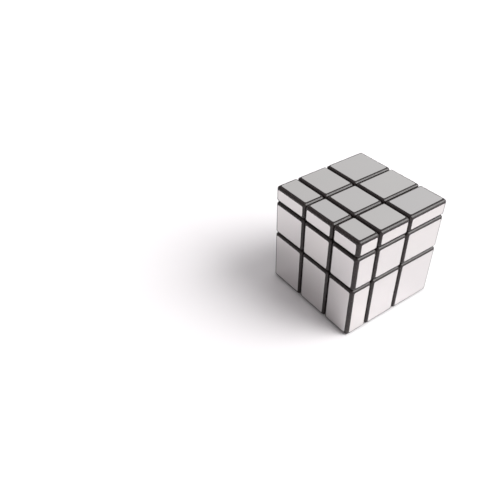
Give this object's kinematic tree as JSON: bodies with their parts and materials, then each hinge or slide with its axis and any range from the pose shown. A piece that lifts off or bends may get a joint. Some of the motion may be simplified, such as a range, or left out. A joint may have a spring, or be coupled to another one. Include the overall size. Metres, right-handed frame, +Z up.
{
  "type": "mirror block cube puzzle",
  "caption": "Mirror-faced turning cube puzzle whose layers all differ in thickness: sprung core, hooked centre, edge and corner pieces, each face turning without limit.",
  "frame": {"origin": "middle of the base, on the surface the solved cube stands on", "axes": "+Z up through the thinnest layer, -Y to the front face, +X to the right face"},
  "size_m": [0.057, 0.057, 0.057],
  "materials": {
    "black_plastic": "satin moulded",
    "mirror_film": "metallised film, slightly rippled",
    "steel": "zinc plated",
    "core_plastic": "moulded nylon"
  },
  "bodies": {
    "core": {"core": "core_plastic", "screws_washers_springs": "steel"},
    "centre_top": {"centre_top": "black_plastic", "cap_top": "black_plastic", "mirror_top": "mirror_film"},
    "centre_bottom": {"centre_bottom": "black_plastic", "cap_bottom": "black_plastic", "mirror_bottom": "mirror_film"},
    "centre_front": {"centre_front": "black_plastic", "cap_front": "black_plastic", "mirror_front": "mirror_film"},
    "centre_back": {"centre_back": "black_plastic", "cap_back": "black_plastic", "mirror_back": "mirror_film"},
    "centre_left": {"centre_left": "black_plastic", "cap_left": "black_plastic", "mirror_left": "mirror_film"},
    "centre_right": {"centre_right": "black_plastic", "cap_right": "black_plastic", "mirror_right": "mirror_film"},
    "edge_top_left": {"edge_top_left": "black_plastic", "mirrors_top_left": "mirror_film"},
    "edge_top_right": {"edge_top_right": "black_plastic", "mirrors_top_right": "mirror_film"},
    "edge_top_front": {"edge_top_front": "black_plastic", "mirrors_top_front": "mirror_film"},
    "edge_top_back": {"edge_top_back": "black_plastic", "mirrors_top_back": "mirror_film"},
    "edge_bottom_left": {"edge_bottom_left": "black_plastic", "mirrors_bottom_left": "mirror_film"},
    "edge_bottom_right": {"edge_bottom_right": "black_plastic", "mirrors_bottom_right": "mirror_film"},
    "edge_bottom_front": {"edge_bottom_front": "black_plastic", "mirrors_bottom_front": "mirror_film"},
    "edge_bottom_back": {"edge_bottom_back": "black_plastic", "mirrors_bottom_back": "mirror_film"},
    "edge_front_left": {"edge_front_left": "black_plastic", "mirrors_front_left": "mirror_film"},
    "edge_back_left": {"edge_back_left": "black_plastic", "mirrors_back_left": "mirror_film"},
    "edge_front_right": {"edge_front_right": "black_plastic", "mirrors_front_right": "mirror_film"},
    "edge_back_right": {"edge_back_right": "black_plastic", "mirrors_back_right": "mirror_film"},
    "corner_top_front_left": {"corner_top_front_left": "black_plastic", "mirrors_top_front_left": "mirror_film"},
    "corner_top_back_left": {"corner_top_back_left": "black_plastic", "mirrors_top_back_left": "mirror_film"},
    "corner_top_front_right": {"corner_top_front_right": "black_plastic", "mirrors_top_front_right": "mirror_film"},
    "corner_top_back_right": {"corner_top_back_right": "black_plastic", "mirrors_top_back_right": "mirror_film"},
    "corner_bottom_front_left": {"corner_bottom_front_left": "black_plastic", "mirrors_bottom_front_left": "mirror_film"},
    "corner_bottom_back_left": {"corner_bottom_back_left": "black_plastic", "mirrors_bottom_back_left": "mirror_film"},
    "corner_bottom_front_right": {"corner_bottom_front_right": "black_plastic", "mirrors_bottom_front_right": "mirror_film"},
    "corner_bottom_back_right": {"corner_bottom_back_right": "black_plastic", "mirrors_bottom_back_right": "mirror_film"}
  },
  "joints": [
    {"name": "top_turn", "type": "hinge", "parent": "core", "child": "centre_top", "pos_m": [0.0025, -0.00625, 0.0385], "axis": [0, 0, 1], "continuous": true},
    {"name": "bottom_turn", "type": "hinge", "parent": "core", "child": "centre_bottom", "pos_m": [0.0025, -0.00625, 0.0385], "axis": [0, 0, -1], "continuous": true},
    {"name": "front_turn", "type": "hinge", "parent": "core", "child": "centre_front", "pos_m": [0.0025, -0.00625, 0.0385], "axis": [0, -1, 0], "continuous": true},
    {"name": "back_turn", "type": "hinge", "parent": "core", "child": "centre_back", "pos_m": [0.0025, -0.00625, 0.0385], "axis": [0, 1, 0], "continuous": true},
    {"name": "left_turn", "type": "hinge", "parent": "core", "child": "centre_left", "pos_m": [0.0025, -0.00625, 0.0385], "axis": [-1, 0, 0], "continuous": true},
    {"name": "right_turn", "type": "hinge", "parent": "core", "child": "centre_right", "pos_m": [0.0025, -0.00625, 0.0385], "axis": [1, 0, 0], "continuous": true},
    {"name": "edge_top_left_follows_left", "type": "hinge", "parent": "centre_top", "child": "edge_top_left", "pos_m": [0.0025, -0.00625, 0.0385], "axis": [-1, 0, 0], "continuous": true},
    {"name": "edge_top_right_follows_right", "type": "hinge", "parent": "centre_top", "child": "edge_top_right", "pos_m": [0.0025, -0.00625, 0.0385], "axis": [1, 0, 0], "continuous": true},
    {"name": "edge_top_front_follows_top", "type": "hinge", "parent": "centre_front", "child": "edge_top_front", "pos_m": [0.0025, -0.00625, 0.0385], "axis": [0, 0, 1], "continuous": true},
    {"name": "edge_top_back_follows_top", "type": "hinge", "parent": "centre_back", "child": "edge_top_back", "pos_m": [0.0025, -0.00625, 0.0385], "axis": [0, 0, 1], "continuous": true},
    {"name": "edge_bottom_left_follows_left", "type": "hinge", "parent": "centre_bottom", "child": "edge_bottom_left", "pos_m": [0.0025, -0.00625, 0.0385], "axis": [-1, 0, 0], "continuous": true},
    {"name": "edge_bottom_right_follows_right", "type": "hinge", "parent": "centre_bottom", "child": "edge_bottom_right", "pos_m": [0.0025, -0.00625, 0.0385], "axis": [1, 0, 0], "continuous": true},
    {"name": "edge_bottom_front_follows_bottom", "type": "hinge", "parent": "centre_front", "child": "edge_bottom_front", "pos_m": [0.0025, -0.00625, 0.0385], "axis": [0, 0, -1], "continuous": true},
    {"name": "edge_bottom_back_follows_bottom", "type": "hinge", "parent": "centre_back", "child": "edge_bottom_back", "pos_m": [0.0025, -0.00625, 0.0385], "axis": [0, 0, -1], "continuous": true},
    {"name": "edge_front_left_follows_front", "type": "hinge", "parent": "centre_left", "child": "edge_front_left", "pos_m": [0.0025, -0.00625, 0.0385], "axis": [0, -1, 0], "continuous": true},
    {"name": "edge_back_left_follows_back", "type": "hinge", "parent": "centre_left", "child": "edge_back_left", "pos_m": [0.0025, -0.00625, 0.0385], "axis": [0, 1, 0], "continuous": true},
    {"name": "edge_front_right_follows_front", "type": "hinge", "parent": "centre_right", "child": "edge_front_right", "pos_m": [0.0025, -0.00625, 0.0385], "axis": [0, -1, 0], "continuous": true},
    {"name": "edge_back_right_follows_back", "type": "hinge", "parent": "centre_right", "child": "edge_back_right", "pos_m": [0.0025, -0.00625, 0.0385], "axis": [0, 1, 0], "continuous": true},
    {"name": "corner_top_front_left_follows_front", "type": "hinge", "parent": "edge_top_left", "child": "corner_top_front_left", "pos_m": [0.0025, -0.00625, 0.0385], "axis": [0, -1, 0], "continuous": true},
    {"name": "corner_top_back_left_follows_back", "type": "hinge", "parent": "edge_top_left", "child": "corner_top_back_left", "pos_m": [0.0025, -0.00625, 0.0385], "axis": [0, 1, 0], "continuous": true},
    {"name": "corner_top_front_right_follows_front", "type": "hinge", "parent": "edge_top_right", "child": "corner_top_front_right", "pos_m": [0.0025, -0.00625, 0.0385], "axis": [0, -1, 0], "continuous": true},
    {"name": "corner_top_back_right_follows_back", "type": "hinge", "parent": "edge_top_right", "child": "corner_top_back_right", "pos_m": [0.0025, -0.00625, 0.0385], "axis": [0, 1, 0], "continuous": true},
    {"name": "corner_bottom_front_left_follows_front", "type": "hinge", "parent": "edge_bottom_left", "child": "corner_bottom_front_left", "pos_m": [0.0025, -0.00625, 0.0385], "axis": [0, -1, 0], "continuous": true},
    {"name": "corner_bottom_back_left_follows_back", "type": "hinge", "parent": "edge_bottom_left", "child": "corner_bottom_back_left", "pos_m": [0.0025, -0.00625, 0.0385], "axis": [0, 1, 0], "continuous": true},
    {"name": "corner_bottom_front_right_follows_front", "type": "hinge", "parent": "edge_bottom_right", "child": "corner_bottom_front_right", "pos_m": [0.0025, -0.00625, 0.0385], "axis": [0, -1, 0], "continuous": true},
    {"name": "corner_bottom_back_right_follows_back", "type": "hinge", "parent": "edge_bottom_right", "child": "corner_bottom_back_right", "pos_m": [0.0025, -0.00625, 0.0385], "axis": [0, 1, 0], "continuous": true}
  ],
  "couplings": [
    {"joint": "edge_top_left_follows_left", "follows": "left_turn", "ratio": 1},
    {"joint": "edge_top_right_follows_right", "follows": "right_turn", "ratio": 1},
    {"joint": "edge_top_front_follows_top", "follows": "top_turn", "ratio": 1},
    {"joint": "edge_top_back_follows_top", "follows": "top_turn", "ratio": 1},
    {"joint": "edge_bottom_left_follows_left", "follows": "left_turn", "ratio": 1},
    {"joint": "edge_bottom_right_follows_right", "follows": "right_turn", "ratio": 1},
    {"joint": "edge_bottom_front_follows_bottom", "follows": "bottom_turn", "ratio": 1},
    {"joint": "edge_bottom_back_follows_bottom", "follows": "bottom_turn", "ratio": 1},
    {"joint": "edge_front_left_follows_front", "follows": "front_turn", "ratio": 1},
    {"joint": "edge_back_left_follows_back", "follows": "back_turn", "ratio": 1},
    {"joint": "edge_front_right_follows_front", "follows": "front_turn", "ratio": 1},
    {"joint": "edge_back_right_follows_back", "follows": "back_turn", "ratio": 1},
    {"joint": "corner_top_front_left_follows_front", "follows": "front_turn", "ratio": 1},
    {"joint": "corner_top_back_left_follows_back", "follows": "back_turn", "ratio": 1},
    {"joint": "corner_top_front_right_follows_front", "follows": "front_turn", "ratio": 1},
    {"joint": "corner_top_back_right_follows_back", "follows": "back_turn", "ratio": 1},
    {"joint": "corner_bottom_front_left_follows_front", "follows": "front_turn", "ratio": 1},
    {"joint": "corner_bottom_back_left_follows_back", "follows": "back_turn", "ratio": 1},
    {"joint": "corner_bottom_front_right_follows_front", "follows": "front_turn", "ratio": 1},
    {"joint": "corner_bottom_back_right_follows_back", "follows": "back_turn", "ratio": 1}
  ]
}
